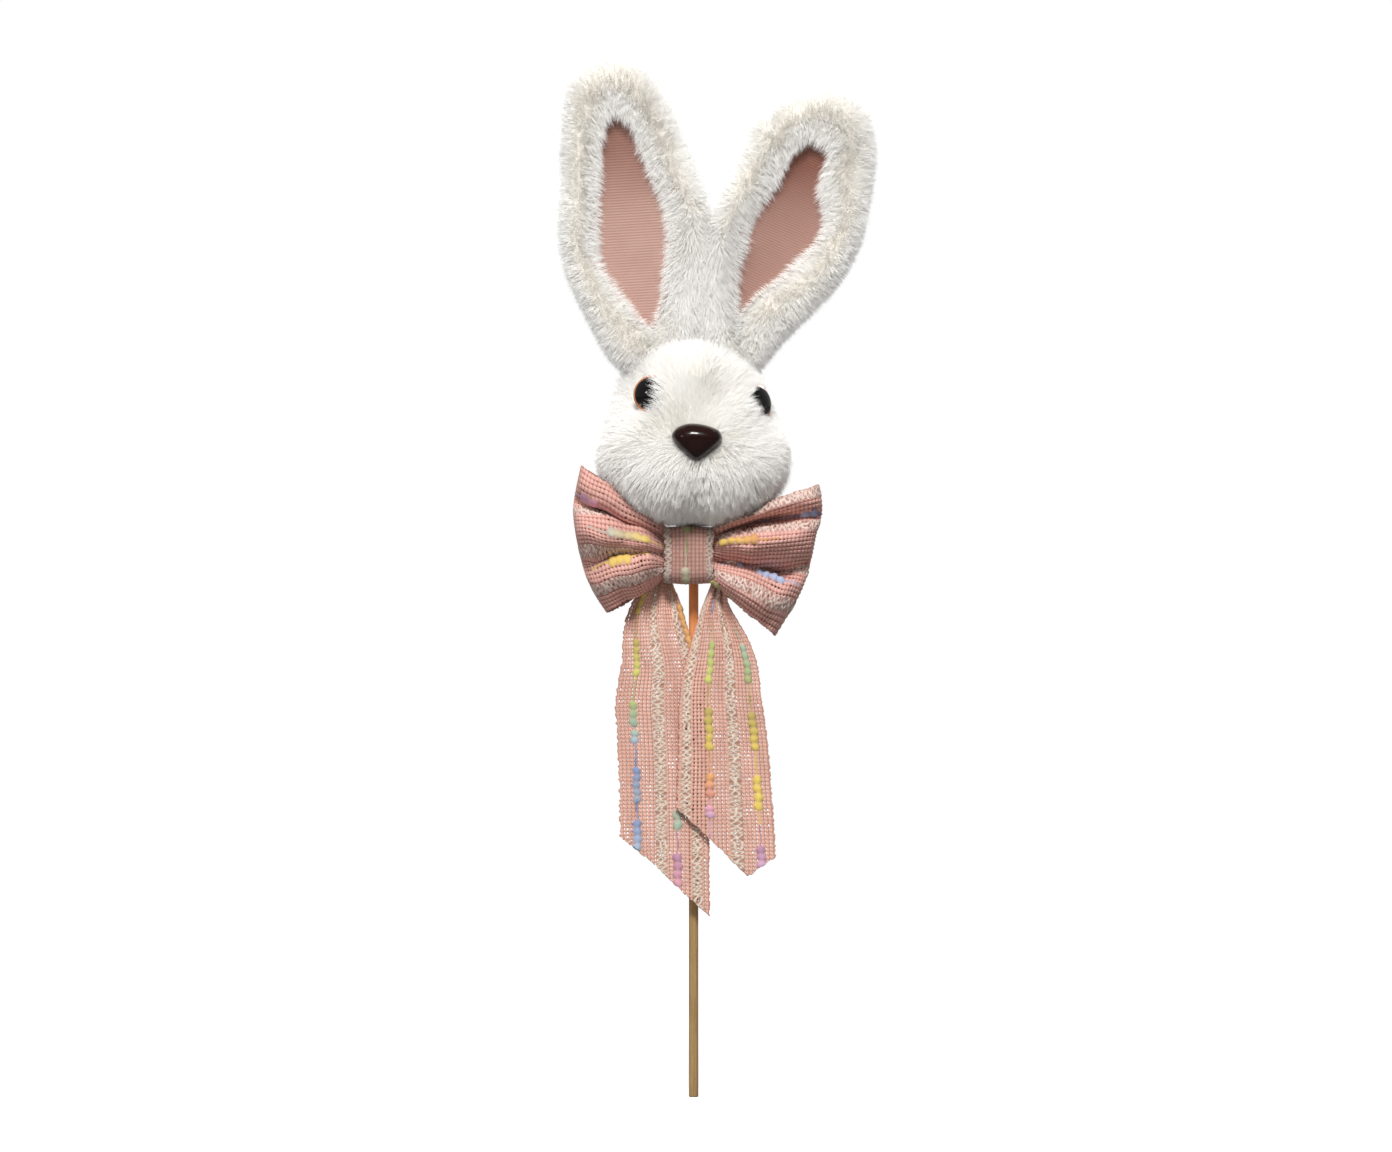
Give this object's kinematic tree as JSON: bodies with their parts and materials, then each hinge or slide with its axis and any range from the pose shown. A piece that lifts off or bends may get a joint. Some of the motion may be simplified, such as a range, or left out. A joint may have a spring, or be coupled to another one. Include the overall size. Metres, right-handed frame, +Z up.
{
  "type": "rabbit head pick",
  "caption": "Plush rabbit head with bendable wired ears and a tweed ribbon bow on a wooden stick, for pushing into a pot or wreath.",
  "frame": {"origin": "centre of the stick's cut lower end", "axes": "+Z up the stick, face looks along -Y, +X to the viewer's right"},
  "size_m": [0.1293, 0.0864, 0.4294],
  "materials": {
    "stick_wood": "matte",
    "hot_glue": "satin",
    "thread": "matte",
    "white_plush": "matte",
    "fibre_fill": "matte",
    "clear_lens": "gloss",
    "black_pupil": "gloss",
    "amber_back": "gloss",
    "washer_plastic": "matte",
    "brown_nose": "gloss",
    "pink_twill": "matte",
    "craft_wire": "satin",
    "tweed_ribbon": "matte"
  },
  "bodies": {
    "head_and_stick": {"stick": "stick_wood", "glue_bead": "hot_glue", "gathering_thread": "thread", "head_stuffing": "fibre_fill", "face_cover": "white_plush", "back_cover": "white_plush", "nose": "brown_nose", "nose_washer": "washer_plastic", "bow_wire": "craft_wire", "knot_band": "tweed_ribbon", "bow_loops": "tweed_ribbon", "left_eye_lens": "clear_lens", "left_eye_pupil": "black_pupil", "left_eye_back": "amber_back", "left_eye_washer": "washer_plastic", "left_ear_leg": "craft_wire", "right_eye_lens": "clear_lens", "right_eye_pupil": "black_pupil", "right_eye_back": "amber_back", "right_eye_washer": "washer_plastic", "right_ear_leg": "craft_wire"},
    "left_ear": {"left_ear_fur": "white_plush", "left_ear_lining": "pink_twill", "left_ear_wire": "craft_wire"},
    "right_ear": {"right_ear_fur": "white_plush", "right_ear_lining": "pink_twill", "right_ear_wire": "craft_wire"},
    "left_tail": {"left_tail": "tweed_ribbon"},
    "right_tail": {"right_tail": "tweed_ribbon"}
  },
  "joints": [
    {"name": "left_ear_bend", "type": "hinge", "parent": "head_and_stick", "child": "left_ear", "pos_m": [-0.018, 0, 0.319], "axis": [1, 0, 0], "range_deg": [-30, 60]},
    {"name": "right_ear_bend", "type": "hinge", "parent": "head_and_stick", "child": "right_ear", "pos_m": [0.021, 0, 0.319], "axis": [1, 0, 0], "range_deg": [-30, 60]},
    {"name": "left_tail_swing", "type": "hinge", "parent": "head_and_stick", "child": "left_tail", "pos_m": [-0.0125, -0.006, 0.2135], "axis": [-1, 0, 0], "range_deg": [0, 35]},
    {"name": "right_tail_swing", "type": "hinge", "parent": "left_tail", "child": "right_tail", "pos_m": [0.008, -0.006, 0.2135], "axis": [-1, 0, 0], "range_deg": [0, 35]}
  ]
}
